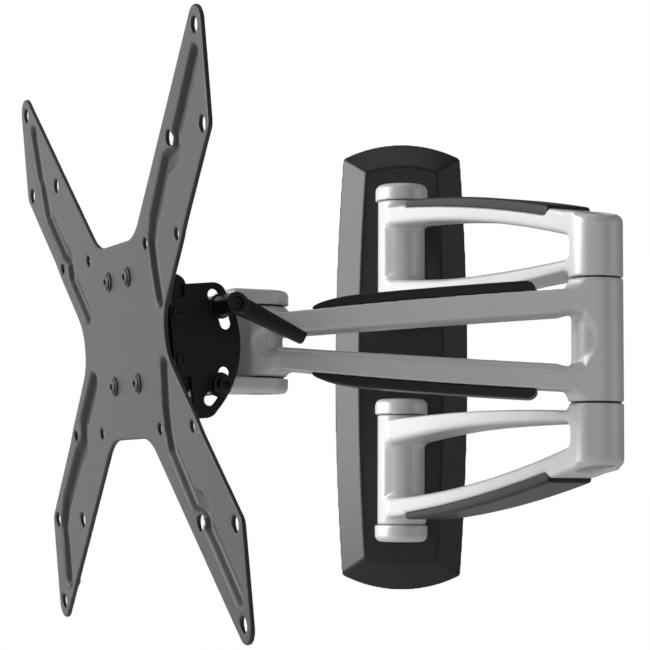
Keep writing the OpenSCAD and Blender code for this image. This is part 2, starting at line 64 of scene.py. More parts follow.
def placed(origin, x, y, z):
    """Matrix from a part's own frame, in millimetres, to the row frame."""
    m = Matrix.Identity(4)
    for k, column in enumerate((x, y, z, origin)):
        for i in range(3):
            m[i][k] = column[i]
    return m


HINGE, ELBOW, HEAD, TILT = map(joint_point, ("wall_swing", "elbow_swing", "head_swivel", "tilt"))
ELBOW.z = HEAD.z = HINGE.z = 0
along_rear = (ELBOW - HINGE).normalized()
along_front = (HEAD - ELBOW).normalized()
SIDE = Vector(JOINTS["tilt"]["axis"]).normalized()      # towards the clamp lever
FACE = SIDE.cross(UP)                                   # where the head points
SHEET_FACE = Vector(MOUNTS["vesa_300"]["axis"]).normalized()
SHEET_UP = SHEET_FACE.cross(SIDE)
AT_WALL = Matrix.Identity(4)
AT_HINGE = placed(HINGE, Vector((1, 0, 0)), Vector((0, 1, 0)), UP)
AT_REAR = placed(HINGE, along_rear, UP.cross(along_rear), UP)
AT_FRONT = placed(ELBOW, along_front, UP.cross(along_front), UP)
AT_HEAD = placed(HEAD, FACE, SIDE, UP)
AT_TILT = placed(TILT, SHEET_FACE, SIDE, SHEET_UP)
LOWER = Matrix.Diagonal((1, 1, -1, 1))
REAR_LEN = (ELBOW - HINGE).length
FRONT_LEN = (HEAD - ELBOW).length

# Sizes that part.scad also states.
BARREL_R, CAP_R, CORE_R, ARM_HALF = 15.3, 17.0, 14.0, 14.9
WALL_IN, WALL_OUT, CAP_IN, CAP_OUT = 34.7, 104.4, 23.8, 116.0
GAP = 0.8
ELBOW_HALF, ELBOW_END, END_SLOPE = 34.4, 72.0, 0.2
ELBOW_IN = ELBOW_HALF + GAP
HEAD_HALF, HEAD_CAP = 20.1, 29.5
RECESS_R, RECESS_FLOOR, ELBOW_CORE_R = 11.0, 64.0, 10.0
OUTER_EDGE, INNER_EDGE = (100.5, 71.7, 4.4), (38.2, 39.6, -3.0)
WINDOW_OUTER, WINDOW_INNER, WINDOW_END = (88.5, 57.4, 5.9), (54.0, 46.5, -4.8), 226.0
FRONT_EDGE, FRONT_WINDOW = (29.0, 14.5, 1.55), (14.6, 2.2, 0.45)
STRIP_FROM, STRIP_TO, STRIP_T = 32.0, 204.0, (2.9, 1.4, 1.3)
SINK, SINK_GROWTH = 0.8, 3.9              # depth of a rear arm's step: at the wall, more at the elbow
PAD_FROM, PAD_TO, PAD_T, PAD_NEAR, PAD_FAR = 33.0, 159.0, 5.8, 6.0, 30.0
TILT_AT = (TILT - HEAD).dot(FACE), (TILT - HEAD).z
SLOT_R, BOLT_ANGLE = 48.0, math.radians(27)
BOLTS = {s: (TILT_AT[0] - SLOT_R * math.cos(BOLT_ANGLE), TILT_AT[1] + s * SLOT_R * math.sin(BOLT_ANGLE))
         for s in (1, -1)}
AT_BOLT = {s: placed(HEAD + FACE * x + UP * z, FACE, -UP, SIDE) for s, (x, z) in BOLTS.items()}
PLATE_IN, PLATE_OUT = 25.0, 28.0          # faces of a slot plate
NEAR_END = 29.5                           # outer face of the washers on the tilt bolts
BOLT_END = -36.0                          # far end of the tilt bolts
SHEET_T, SHEET_FRONT, SHEET_LIFT = 2.5, 4.3, 2.6
PIN_BORE, PIN_HEAD_BORE, BUSH_BORE, BOLT_BORE = 6.05, 8.05, 8.0, 3.05
PLATE_SCREWS, PLATE_SCREW_BORE = [(16.5, 35), (20, -24)], 3.1
CHANNEL_SCREWS, CHANNEL_SCREW_BORE = [(-19.5, 15.5), (-19.5, -11)], 2.1

CORE_INSET = 0.2                          # how much thinner a core is than CORE_R or ELBOW_CORE_R
WEB_EDGE = 1.6                            # rounding of the arms' long edges
SHARP = 0.1                               # rounding where an edge is left sharp
STAND_OFF = 0.12                          # gap between an arm and its cover

# ---- Signed distance fields ----


def spread(lo, hi, voxel):
    """The three axes of a grid, shaped so that they broadcast together."""
    axes = []
    for k in range(3):
        n = int(math.ceil((hi[k] - lo[k]) / voxel)) + 1
        shape = [1, 1, 1]
        shape[k] = n
        axes.append((lo[k] + voxel * np.arange(n, dtype=np.float32)).reshape(shape))
    return axes


def outline(px, py, pts):
    """Distance to a closed outline, negative inside."""
    px, py = np.broadcast_arrays(px, py)
    d = np.full(px.shape, 1e9, np.float32)
    inside = np.zeros(px.shape, bool)
    for (ax, ay), (bx, by) in zip(pts, pts[1:] + pts[:1]):
        ex, ey = bx - ax, by - ay
        if abs(ex) + abs(ey) < 1e-6:
            continue
        h = np.clip(((px - ax) * ex + (py - ay) * ey) / (ex * ex + ey * ey), 0, 1)
        d = np.minimum(d, (px - ax - ex * h) ** 2 + (py - ay - ey * h) ** 2)
        if ay != by:
            inside ^= ((ay > py) != (by > py)) & (px < ax + ex * (py - ay) / ey)
    d = np.sqrt(d)
    return np.where(inside, -d, d)


def solid(flat, height, edge=0.8):
    """A flat shape with a thickness, its edges rounded by edge."""
    a, b = flat + edge, height + edge
    return np.minimum(np.maximum(a, b), 0) + np.hypot(np.maximum(a, 0), np.maximum(b, 0)) - edge


def between(v, lo, hi):
    """Distance to the slab between two heights, negative inside."""
    return np.abs(v - (lo + hi) / 2) - (hi - lo) / 2


def post(x, y, z, cx, r, lo, hi, edge=0.8):
    """An upright round post whose axis is at cx."""
    return solid(np.hypot(x - cx, y) - r, between(z, lo, hi), edge)


def bored(d, x, y, z, cx, r, lo, hi):
    """Drills an upright round hole with sharp ends."""
    return np.maximum(d, -post(x, y, z, cx, r, lo, hi, SHARP))


def drilled(flat, px, py, spots, r):
    """Cuts a hole of radius r at each spot."""
    for cx, cy in spots:
        flat = np.maximum(flat, r - np.hypot(px - cx, py - cy))
    return flat


def join(a, b, r):
    """Union with a fillet of radius r."""
    return np.maximum(r, np.minimum(a, b)) - np.hypot(np.maximum(r - a, 0), np.maximum(r - b, 0))


def keep(a, b, r):
    """Intersection with its edge rounded by r."""
    return np.minimum(-r, np.maximum(a, b)) + np.hypot(np.maximum(r + a, 0), np.maximum(r + b, 0))


def cut(a, b, r):
    """Takes b away from a, with the edge of the cut rounded by r."""
    return keep(a, -b, r)


def hexagon(x, y, across):
    """Distance to a hexagon, from its width across the flats."""
    d = np.abs(x)
    for w in (60, 120):
        c, s = math.cos(math.radians(w)), math.sin(math.radians(w))
        d = np.maximum(d, np.abs(x * c + y * s))
    return d - across / 2


def bowed(u, edge):
    """Height of a bowed edge: (height at 0, height at 1, rise of its middle)."""
    a, b, c = edge
    return a + (b - a) * u + 4 * c * u * (1 - u)


def meshed(name, field, lo, voxel, places, material, adaptivity):
    """Turns a field into an object at one or more places, with shading from the field's slope."""
    band = 3 * voxel                        # the field is only kept this close to the surface
    field = np.clip(field, -band, band).astype(np.float32)
    grid = openvdb.FloatGrid(band)
    grid.copyFromArray(field)
    points, tris, quads = grid.convertToPolygons(isovalue=0.0, adaptivity=adaptivity)

    # The field's slope at each point, blended from the eight grid corners around it.
    slopes = [np.gradient(field, axis=k) for k in range(3)]
    base = np.clip(np.floor(points).astype(int), 0, np.array(field.shape) - 2)
    part = points - base
    normal = np.zeros((len(points), 3))
    for corner in np.ndindex(2, 2, 2):
        w = np.prod([part[:, k] if corner[k] else 1 - part[:, k] for k in range(3)], axis=0)
        at = tuple(base[:, k] + corner[k] for k in range(3))
        for k in range(3):
            normal[:, k] += w * slopes[k][at]
    normal /= np.maximum(np.linalg.norm(normal, axis=1, keepdims=True), 1e-9)

    # A mirrored place turns its faces over, so that all of them still look outwards.
    faces = [f for group in (quads, tris) for f in group.tolist()]
    a, b, c = (points[[f[k] for f in faces]] for k in range(3))
    outward = (np.cross(b - a, c - a) * normal[[f[0] for f in faces]]).sum() > 0
    spots, slants, polygons = [], [], []
    for matrix in places:
        turn = np.array(matrix)
        flip = (np.linalg.det(turn[:3, :3]) > 0) != outward
        polygons += [[v + len(points) * len(spots) for v in (f[::-1] if flip else f)] for f in faces]
        spots.append((np.array(lo) + points * voxel) @ turn[:3, :3].T + turn[:3, 3])
        slants.append(normal @ turn[:3, :3].T)
    mesh = bpy.data.meshes.new(name)
    mesh.from_pydata((np.concatenate(spots) / METRE).tolist(), [], polygons)
    mesh.validate()
    mesh.polygons.foreach_set("use_smooth", np.ones(len(mesh.polygons), bool))
    mesh.normals_split_custom_set_from_vertices(np.concatenate(slants).tolist())
    mesh.materials.append(material)
    return bpy.data.objects.new(name, mesh)


def node_mesh(node, field, lo, voxel, places, material, adaptivity=0.02):
    """Makes the detailed piece that stands for one CAD node, at one place or at a list of them."""
    places = places if isinstance(places, list) else [places]
    obj = meshed(node + "_piece", field, lo, voxel, places, material, adaptivity)
    bpy.context.scene.collection.objects.link(obj)
    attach(obj, BODY_OF[node])
    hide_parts(node)


# ---- Materials ----


GRAIN_DEPTH = 0.0002   # metres
MOTTLE_SCALE = 28.0    # slow changes of colour, in cells of noise to the metre


def procedural(name, colour, roughness, metallic=0.0, grain=900.0, bump=0.05, mottle=0.06,
               rough_spread=0.06, coat=0.0, specular=0.5):
    """A coated or moulded surface: fine grain in the relief, slow change of colour and gloss."""
    mat = bpy.data.materials.new(name)
    mat.use_nodes = True
    nt = mat.node_tree
    bsdf = nt.nodes["Principled BSDF"]
    bsdf.inputs["Metallic"].default_value = metallic
    bsdf.inputs["Specular IOR Level"].default_value = specular
    bsdf.inputs["Coat Weight"].default_value = coat
    bsdf.inputs["Coat Roughness"].default_value = 0.25
    place = nt.nodes.new("ShaderNodeTexCoord")

    def noise(scale, detail):
        n = nt.nodes.new("ShaderNodeTexNoise")
        n.inputs["Scale"].default_value = scale
        n.inputs["Detail"].default_value = detail
        nt.links.new(place.outputs["Object"], n.inputs["Vector"])
        return n

    slow, fine = noise(MOTTLE_SCALE, 4.0), noise(grain, 2.0)
    ramp = nt.nodes.new("ShaderNodeValToRGB")
    ramp.color_ramp.elements[0].position, ramp.color_ramp.elements[1].position = 0.3, 0.7
    for element, k in zip(ramp.color_ramp.elements, (1 - mottle, 1 + mottle)):
        element.color = (*(min(1.0, c * k) for c in colour), 1.0)
    nt.links.new(slow.outputs["Fac"], ramp.inputs["Fac"])
    nt.links.new(ramp.outputs["Color"], bsdf.inputs["Base Color"])
    gloss = nt.nodes.new("ShaderNodeMapRange")
    gloss.inputs["To Min"].default_value = roughness - rough_spread
    gloss.inputs["To Max"].default_value = roughness + rough_spread
    nt.links.new(fine.outputs["Fac"], gloss.inputs["Value"])
    nt.links.new(gloss.outputs["Result"], bsdf.inputs["Roughness"])
    relief = nt.nodes.new("ShaderNodeBump")
    relief.inputs["Strength"].default_value = bump
    relief.inputs["Distance"].default_value = GRAIN_DEPTH
    nt.links.new(fine.outputs["Fac"], relief.inputs["Height"])
    nt.links.new(relief.outputs["Normal"], bsdf.inputs["Normal"])
    return mat


SILVER = procedural("silver_coating", (0.68, 0.68, 0.685), 0.42, metallic=0.4, grain=1400,
                    bump=0.10, mottle=0.02, rough_spread=0.05, coat=0.1)
SHEET = procedural("black_powder_coat", (0.021, 0.0225, 0.025), 0.40, grain=1600, bump=0.25,
                   mottle=0.12, specular=0.42)
# A darker copy of the black sheet for the slot plates and the channel: painted shade, for the shadow between the
# screen plate and the head
SHADED_SHEET_BLACK = procedural("black_sheet_painted_shade", (0.008, 0.008, 0.009), 0.40, grain=1600, bump=0.25,
                         mottle=0.10, specular=0.35)
COVER = procedural("cover_plastic", (0.010, 0.010, 0.011), 0.30, grain=2200, bump=0.14, mottle=0.08)
STRIP = procedural("strip_plastic", (0.010, 0.010, 0.011), 0.38, grain=2000, bump=0.15,
                   mottle=0.08, specular=0.4)
HINGE_BLACK = procedural("hinge_plastic", (0.006, 0.006, 0.007), 0.45, grain=1800, bump=0.1)
STEEL = procedural("zinc_plate", (0.50, 0.51, 0.53), 0.32, metallic=0.95, grain=700, bump=0.1,
                   mottle=0.08)
BLACK_STEEL = procedural("black_oxide", (0.010, 0.010, 0.011), 0.36, metallic=0.1, grain=1200,
                         bump=0.12, mottle=0.2, specular=0.4)
FINISH = {"silver_casting": SILVER, "black_sheet": SHADED_SHEET_BLACK, "black_plastic": COVER,
          "hinge_plastic": HINGE_BLACK, "plain_steel": STEEL, "black_steel": BLACK_STEEL}
# The hidden pieces and the thin washers keep their CAD mesh and get the same materials.
for node, obj in frame["nodes"].items():
    obj.data.materials.clear()
    obj.data.materials.append(FINISH[SLOT_OF[node]])

# ---- Arm castings ----

ARM_VOXEL = 0.8


def edge_points(edge, length, start, end, n=28):
    """Points along a bowed edge, from start to end of an arm of this length."""
    return [(start + (end - start) * i / n, bowed((start + (end - start) * i / n) / length, edge))
            for i in range(n + 1)]


def arc(cx, cy, r, start, end, n=10):
    """Points along an arc, between two angles in degrees."""
    return [(cx + r * math.cos(math.radians(start + (end - start) * i / n)),
             cy + r * math.sin(math.radians(start + (end - start) * i / n))) for i in range(n + 1)]


def recess(s):
    """How far the arm's edge is sunk below a rear cover, with soft steps at the cover's ends."""
    ends = np.clip((STRIP_TO + 2 - s) / 7, 0, 1) * np.clip((s - STRIP_FROM + 1.5) / 2, 0, 1)
    return (SINK + SINK_GROWTH * s / REAR_LEN) * ends * ends * (3 - 2 * ends)


def capsule(x, y, length):
    """Plan of an arm with a round barrel at each end."""
    return np.hypot(np.maximum(-x, 0) + np.maximum(x - length, 0), y) - BARREL_R


def rear_arm(node, matrix):
    lo, hi = (-18, -18, 31), (REAR_LEN + 18, 18, 110)
    x, y, z = spread(lo, hi, ARM_VOXEL)
    side = np.abs(y)

    # The web, with its top edge stepped down under the cover.
    runs = ((0, STRIP_FROM - 1.6, 5), (STRIP_FROM - 1.5, STRIP_FROM + 0.6, 5),
            (STRIP_FROM + 5, STRIP_TO - 6, 18), (STRIP_TO - 5, STRIP_TO + 2, 8),
            (STRIP_TO + 4, REAR_LEN, 4))
    stations = np.concatenate([np.linspace(*run) for run in runs]).tolist()
    top = [(s, bowed(s / REAR_LEN, OUTER_EDGE) - float(recess(s))) for s in stations]
    web = outline(x, z, top + edge_points(INNER_EDGE, REAR_LEN, 0, REAR_LEN)[::-1])
    d = solid(web, side - ARM_HALF, WEB_EDGE)

    # The barrels, the one at the elbow with a sloping end.
    end = (z - ELBOW_END - END_SLOPE * (REAR_LEN - x)) / math.hypot(1, END_SLOPE) + 0 * y
    d = join(d, post(x, y, z, 0, BARREL_R, WALL_IN, WALL_OUT), 3.0)
    column = np.maximum(np.hypot(x - REAR_LEN, y) - BARREL_R + 0 * z, ELBOW_IN - z + 0 * x)
    d = join(d, keep(column, end, 4.0), 3.0)
    at_elbow = x > REAR_LEN / 2
    d = np.maximum(d, capsule(x, y, REAR_LEN))
    d = np.maximum(d, np.where(at_elbow, ELBOW_IN, WALL_IN) + 0.1 - z)
    d = np.maximum(d, np.where(at_elbow, end, z - WALL_OUT))

    # The window, and the cores of the barrels that show in it.
    corner, window_from, window_floor = 4.5, 4, 44
    stop = WINDOW_END - corner
    over, under = (bowed(stop / REAR_LEN, edge) for edge in (WINDOW_OUTER, WINDOW_INNER))
    window = outline(x, z, edge_points(WINDOW_OUTER, REAR_LEN, window_from, stop)
                     + arc(stop, over - corner, corner, 80, 0, 6)
                     + arc(stop, under + corner, corner, 0, -80, 6)
                     + edge_points(WINDOW_INNER, REAR_LEN, window_from, stop)[::-1]) + 0 * y
    window = keep(window, -(z - window_floor), 3.0)
    d = cut(d, window, 3.5)
    d = join(d, post(x, y, z, 0, CORE_R - CORE_INSET, WALL_IN + 2, WALL_OUT - 2), 5.0)
    d = join(d, post(x, y, z, REAR_LEN, ELBOW_CORE_R - CORE_INSET, ELBOW_IN + 2, RECESS_FLOOR), 4.0)
    d = np.maximum(d, capsule(x, y, REAR_LEN))

    d = bored(d, x, y, z, 0, BUSH_BORE, WALL_IN - 3, WALL_OUT + 3)
    d = bored(d, x, y, z, REAR_LEN, PIN_BORE, ELBOW_IN - 3, ELBOW_END + 3)
    d = cut(d, post(x, y, z, REAR_LEN, RECESS_R, RECESS_FLOOR, ELBOW_END + 9, 0.3), 0.8)
    node_mesh(node, d, lo, ARM_VOXEL, matrix, SILVER)


rear_arm("upper_rear_arm", AT_REAR)
rear_arm("lower_rear_arm", AT_REAR @ LOWER)


def front_arm():
    lo, hi = (-18, -18, -37), (FRONT_LEN + 18, 18, 37)
    x, y, z = spread(lo, hi, ARM_VOXEL)
    high, side = np.abs(z), np.abs(y)
    upper = edge_points(FRONT_EDGE, FRONT_LEN, 0, FRONT_LEN)
    web = outline(x, high, upper + [(FRONT_LEN, -5), (0, -5)])
    d = solid(web, side - ARM_HALF, WEB_EDGE)
    d = join(d, post(x, y, z, 0, BARREL_R, -ELBOW_HALF, ELBOW_HALF), 6.0)
    d = join(d, post(x, y, z, FRONT_LEN, BARREL_R, -HEAD_HALF, HEAD_HALF), 6.0)
    d = keep(d, capsule(x, y, FRONT_LEN) + 0 * z, 0.4)
    head_from = FRONT_LEN - 28
    d = keep(d, high - np.where(x > head_from, HEAD_HALF, ELBOW_HALF) + 0 * d, 0.6)

    # The window runs from a wide scoop at the elbow to a small round end at the head.
    window_from, window_to = 6, 180
    gap = edge_points(FRONT_WINDOW, FRONT_LEN, window_from, window_to)
    window = outline(x, high, gap + [(window_to, -5), (window_from, -5)])
    scoop = np.hypot(x - 14, z) - 15.0
    small = np.hypot(x - 183.5, z) - 5.4
    window = join(join(window, scoop, 1.0), small, 1.0) + 0 * y
    d = cut(d, window, 4.5)
    core = CORE_R - CORE_INSET
    d = join(d, post(x, y, z, 0, core, -ELBOW_HALF + 2, ELBOW_HALF - 2), 4.0)
    d = join(d, post(x, y, z, FRONT_LEN, core, -HEAD_HALF + 2, HEAD_HALF - 2), 1.2)
    d = np.maximum(d, capsule(x, y, FRONT_LEN))
    for at, half in ((0, ELBOW_HALF), (FRONT_LEN, HEAD_HALF)):
        d = bored(d, x, y, z, at, BUSH_BORE, -half - 3, half + 3)
    node_mesh("front_arm", d, lo, ARM_VOXEL, AT_FRONT, SILVER)


front_arm()

# ---- Wall brackets and the swivel bracket ----


def wall_bracket(node, matrix):
    voxel = 0.7
    lo, hi = (-18.5, -18.5, 21), (18.5, 33, 119)
    x, y, z = spread(lo, hi, voxel)
    r = np.hypot(x, y) - CAP_R
    base_half, neck_half = 15, 12
    base = [(-base_half, CAP_IN - 1), (base_half, CAP_IN - 1),
            (base_half, CAP_OUT + 1), (-base_half, CAP_OUT + 1)]
    d = solid(outline(x, z, base) + 0 * y, between(y, 26, 31), 0.6)
    for low, high in ((CAP_IN + 1.5, WALL_IN - GAP), (WALL_OUT + GAP, CAP_OUT - 1.5)):
        neck = np.maximum(np.abs(x) - neck_half, between(y, 0, 29)) + 0 * z
        d = join(d, solid(neck, between(z, low, high), 1.5), 1.5)
    for low, high, top in ((WALL_OUT + GAP, CAP_OUT, True), (CAP_IN, WALL_IN - GAP, False)):
        outer = (z - high) if top else (low - z)
        inner = (low - z) if top else (z - high)
        cap = keep(keep(r + 0 * z, outer + 0 * r, 4.5), inner + 0 * r, 0.6)
        d = join(d, cap, 1.5)
        if top:     # nothing but the other cap is left under this one, round the hinge
            d = np.maximum(d, np.where(np.hypot(x, y) < CAP_R + 2, inner + 0 * r, -99))
    d = bored(d, x, y, z, 0, PIN_BORE, CAP_IN - 3, WALL_OUT + GAP + 6)
    d = cut(d, post(x, y, z, 0, PIN_HEAD_BORE, CAP_IN - 5, CAP_IN + 3, SHARP), 0.5)
    node_mesh(node, d, lo, voxel, matrix, SILVER)


wall_bracket("upper_wall_bracket", AT_HINGE)
wall_bracket("lower_wall_bracket", AT_HINGE @ LOWER)


def swivel_bracket():
    voxel = 0.7
    lo, hi = (-18.5, -26, -31), (43, 26, 31)
    x, y, z = spread(lo, hi, voxel)
    gap = HEAD_HALF + GAP
    flange_to, web_half, boss_r, boss_half = 22, 12, 6.5, 24.4

    # The two flanges over and under the front arm's end.
    d = None
    for side in (1, -1):
        h = side * z
        plan = np.maximum(np.hypot(np.minimum(x, 0), y) - CAP_R, x - flange_to)
        flange = keep(keep(plan + 0 * z, h - HEAD_CAP + 0 * x, 3.8), gap - h + 0 * x, 0.6)
        d = flange if d is None else np.minimum(d, flange)

    # The web between them, which reaches forwards to the two bosses of the tilt bolts.
    high, low = BOLTS[1][1], BOLTS[-1][1]
    web_in, web_out = 30, 38.5
    web = outline(x, z, [(8, HEAD_CAP), (19, HEAD_CAP), (web_in - 5, high + 7), (web_out - 3, high + 6),
                         (web_out, high), (web_out, low - 1), (web_out - 4, low - 5), (19, -HEAD_CAP),
                         (8, -HEAD_CAP), (8, -gap), (web_in - 2, -gap), (web_in, -gap + 3),
                         (web_in, high - 5.5), (web_in - 3, high - 3), (18, gap), (8, gap)])
    d = join(d, solid(web, np.abs(y) - web_half, 1.2), 2.5)
    d = keep(d, np.abs(z) - HEAD_CAP + 0 * d, 0.8)
    for bx, bz in BOLTS.values():
        boss = np.hypot(x - bx, z - bz) - boss_r + 0 * y
        d = join(d, solid(boss, np.abs(y) - boss_half, 0.7), 2.0)
    d = drilled(d, x, z, BOLTS.values(), BOLT_BORE)

    d = bored(d, x, y, z, 0, PIN_BORE, -HEAD_CAP - 3, HEAD_CAP - 2)
    d = cut(d, post(x, y, z, 0, PIN_HEAD_BORE, -HEAD_CAP - 5, -HEAD_CAP + 2.5, SHARP), 0.4)
    node_mesh("swivel_bracket", d, lo, voxel, AT_HEAD, SILVER)


swivel_bracket()

# ---- Pressed screen plate ----

# Round holes of one quarter of the sheet, with their radius.
SCREEN_HOLES = [([(150, 150), (150, 100), (100, 100)], 4.2), ([(100, 50), (50, 50)], 3.1)]
# Outline of the upper right quarter, from the notch at the top to the notch at the side.
QUARTER = ([(0, 54.6)] + arc(20.3, 84.6, 30, -90, -48)
           + arc(150.7, 150.7, 9.4, 132, 0) + arc(153.6, 100.5, 6, 0, -45, 4)
           + [(113.5, 54.5), (105.5, 45.5)] + arc(94.5, 0, 25, 135, 180))
# Ribs pressed into the four arms of the sheet: depth, half width, width of a flank, middle lines.
RIB_DEPTH, RIB_HALF, RIB_FLANK = 4.0, 7.2, 3.6
RIBS = [
    [(146, 135), (119, 108), (110.5, 100), (110, 94), (104, 90), (92, 87.5), (66, 60),
     (61, 50), (62, 38), (66, 20)],
    [(-138, 136), (-131, 110), (-128, 106), (-122, 86), (-97, 62), (-86, 56), (-84, 44), (-60, 20)],
    [(-58, -20), (-84, -44), (-86, -56), (-99, -63), (-130, -90), (-138, -104), (-136.5, -114),
     (-137, -136)],
    [(64, -18), (62, -38), (63, -50), (66, -60), (92, -87.5), (104, -90), (110, -94),
     (111, -101), (119, -108), (146, -135)],
]


def to_path(px, py, pts):
    """Distance to an open path."""
    d = np.full(np.broadcast(px, py).shape, 1e9, np.float32)
    for (ax, ay), (bx, by) in zip(pts, pts[1:]):
        ex, ey = bx - ax, by - ay
        h = np.clip(((px - ax) * ex + (py - ay) * ey) / (ex * ex + ey * ey), 0, 1)
        d = np.minimum(d, np.hypot(px - ax - ex * h, py - ay - ey * h))
    return d


def screen_plate():
    voxel = 0.85
    lo, hi = (-161, -161, -9), (161, 161, 3)
    x, y, z = spread(lo, hi, voxel)
    pts = (QUARTER + [(px, -py) for px, py in QUARTER[-2::-1]] + [(-px, -py) for px, py in QUARTER[1:]]
           + [(-px, py) for px, py in QUARTER[-2:0:-1]])
    flat = outline(x, y, pts)
    for spots, r in SCREEN_HOLES:
        corners = [(sx * px, sy * py) for px, py in spots for sx in (1, -1) for sy in (1, -1)]
        flat = drilled(flat, x, y, corners, r)
    screws = [(sx * px, py) for px, py in PLATE_SCREWS for sx in (1, -1)]
    flat = drilled(flat, x, y, screws, PLATE_SCREW_BORE)

    # How deep the sheet is pressed at each point, with the ribs' edges smoothed.
    press = 0
    for path in RIBS:
        depth = RIB_DEPTH * np.clip((RIB_HALF - to_path(x, y, path)) / RIB_FLANK, 0, 1)
        press = np.maximum(press, depth)
    kernel = np.hanning(5)
    kernel /= kernel.sum()
    press = press[:, :, 0]
    for axis in (0, 1):
        press = np.apply_along_axis(lambda v: np.convolve(v, kernel, "same"), axis, press)
    middle = -SHEET_T / 2 - press[:, :, None]
    steep = np.gradient(press, voxel)
    slope = np.sqrt(1 + steep[0] ** 2 + steep[1] ** 2)[:, :, None]
    d = solid(flat, (np.abs(z - middle) - SHEET_T / 2 * slope) / slope, 0.5)
    origin = TILT + SHEET_FACE * SHEET_FRONT + SHEET_UP * SHEET_LIFT
    matrix = placed(origin, SIDE, SHEET_UP, SHEET_FACE)
    node_mesh("screen_plate", d, lo, voxel, matrix, SHEET, adaptivity=0.004)


screen_plate()

# ---- Wall cover and arm covers ----


def wall_cover():
    half_w, half_h, depth, wall, bevel = 44.7, 148.7, 14.0, 2.0, 17.0
    drop, corner_z = 5.0, 138.9       # how far a corner is in from the side, and its height
    side_r = (corner_z ** 2 + drop ** 2) / (2 * drop)
    corner_x, rise = half_w - drop, half_h - corner_z
    end_r = (corner_x ** 2 + rise ** 2) / (2 * rise)
    voxel = 0.6
    lo, hi = (-47, -16, -150.5), (47, 2, 150.5)
    x, y, z = spread(lo, hi, voxel)

    def form(inset, slope, deep, edge):
        """A block with bulging sides and ends that draw in towards its front."""
        lean = math.hypot(slope, deep)
        draw = -y * slope / deep          # how far the sides have come in at this depth
        side = (np.hypot(np.abs(x) + side_r - half_w, z) - side_r + inset + draw) * deep / lean
        end = (np.hypot(x, np.abs(z) + end_r - half_h) - end_r + inset + draw) * deep / lean
        end = np.where(np.abs(z) > half_h - end_r, end, -99)
        return keep(keep(side, end, edge), -y - deep + 0 * side, edge)

    d = keep(form(0, bevel, depth, 1.1), y + 0 * x + 0 * z, 1.0)
    hollow = depth - wall
    d = np.maximum(d, -form(wall, bevel * hollow / depth, hollow, 0.3))

    # Slots in the front for the necks of the two brackets.
    slot_half = 12.5
    necks = ((CAP_IN + 1, WALL_IN - GAP + 0.5), (WALL_OUT + GAP - 0.5, CAP_OUT - 1))
    for side in (1, -1):
        for low, high in necks:
            slot = np.maximum(np.abs(x) - slot_half, between(side * z, low, high))
            d = np.maximum(d, -np.maximum(slot, y + depth - wall - 1))
    node_mesh("wall_cover", d, lo, voxel, AT_WALL, COVER, adaptivity=0.003)


wall_cover()


def rear_strip(node, matrix):
    voxel = 0.6
    lo, hi = (STRIP_FROM - 2, -15.5, 68), (STRIP_TO + 3, 15.5, 112)
    x, y, z = spread(lo, hi, voxel)
    edge = bowed(x / REAR_LEN, OUTER_EDGE)
    base = edge - SINK - SINK_GROWTH * x / REAR_LEN + STAND_OFF
    near_end = np.clip(1 - (x - STRIP_FROM) / 14, 0, 1)
    top = edge + bowed(x / REAR_LEN, STRIP_T) - 0.9 * near_end ** 2
    d = keep(z - top + 0 * y, np.abs(y) - ARM_HALF + 0.1 + 0 * z, 2.0)
    d = keep(d, base - z + 0 * y, 0.2)
    d = keep(d, between(x, STRIP_FROM, STRIP_TO) + 0 * d, 1.6)
    node_mesh(node, d, lo, voxel, matrix, STRIP)


rear_strip("upper_rear_cover", AT_REAR)
rear_strip("lower_rear_cover", AT_REAR @ LOWER)


def tip(d, length):
    """Height of a rounded tip, as a part of the full height."""
    return np.sqrt(np.maximum(1 - (1 - np.clip(d / length, 0, 1)) ** 2, 0))


def front_pad(node, matrix):
    voxel = 0.6
    lo, hi = (PAD_FROM - 2, -15.5, 10), (PAD_TO + 3, 15.5, 40)
    x, y, z = spread(lo, hi, voxel)
    base = bowed(x / FRONT_LEN, FRONT_EDGE) + STAND_OFF
    rim, half_w = 0.3, 13.5
    top = base + rim + (PAD_T - rim) * tip(x - PAD_FROM, PAD_NEAR) * tip(PAD_TO - x, PAD_FAR)
    d = keep((z - top) * 0.9 + 0 * y, np.abs(y) - half_w + 0 * z, 1.6)
    d = keep(d, base - z + 0 * y, 0.2)
    d = keep(d, between(x, PAD_FROM, PAD_TO) + 0 * d, 0.6)
    node_mesh(node, d, lo, voxel, matrix, STRIP)


front_pad("upper_front_cover", AT_FRONT)
front_pad("lower_front_cover", AT_FRONT @ LOWER)

# ---- Tilting parts and fasteners ----


def on_tilt(x, y, z, ax, ay, az):
    """A frame fixed to the tilting parts, from its origin and the directions of its axes."""
    ways = {"face": SHEET_FACE, "side": SIDE, "up": SHEET_UP}
    ways.update({"-" + k: -v for k, v in list(ways.items())})
    return placed(TILT + SHEET_FACE * x + SIDE * y + SHEET_UP * z, ways[ax], ways[ay], ways[az])


def threaded(x, y, z, r, pitch=1.0):
    """A screw thread of outer radius r that winds round the Z axis."""
    turn = np.arctan2(y, x) / (2 * math.pi)
    ridge = np.abs((z / pitch - turn) % 1.0 - 0.5)
    return np.hypot(x, y) - r + 0.5 * pitch * (0.5 - ridge)


def cross_recess(x, y, z, arm, floor):
    """A cross-shaped recess that is open above its floor."""
    half = 0.45
    return np.maximum(np.minimum(np.maximum(np.abs(x) - half, np.abs(y) - arm),
                                 np.maximum(np.abs(y) - half, np.abs(x) - arm)) + 0 * z, floor - z)


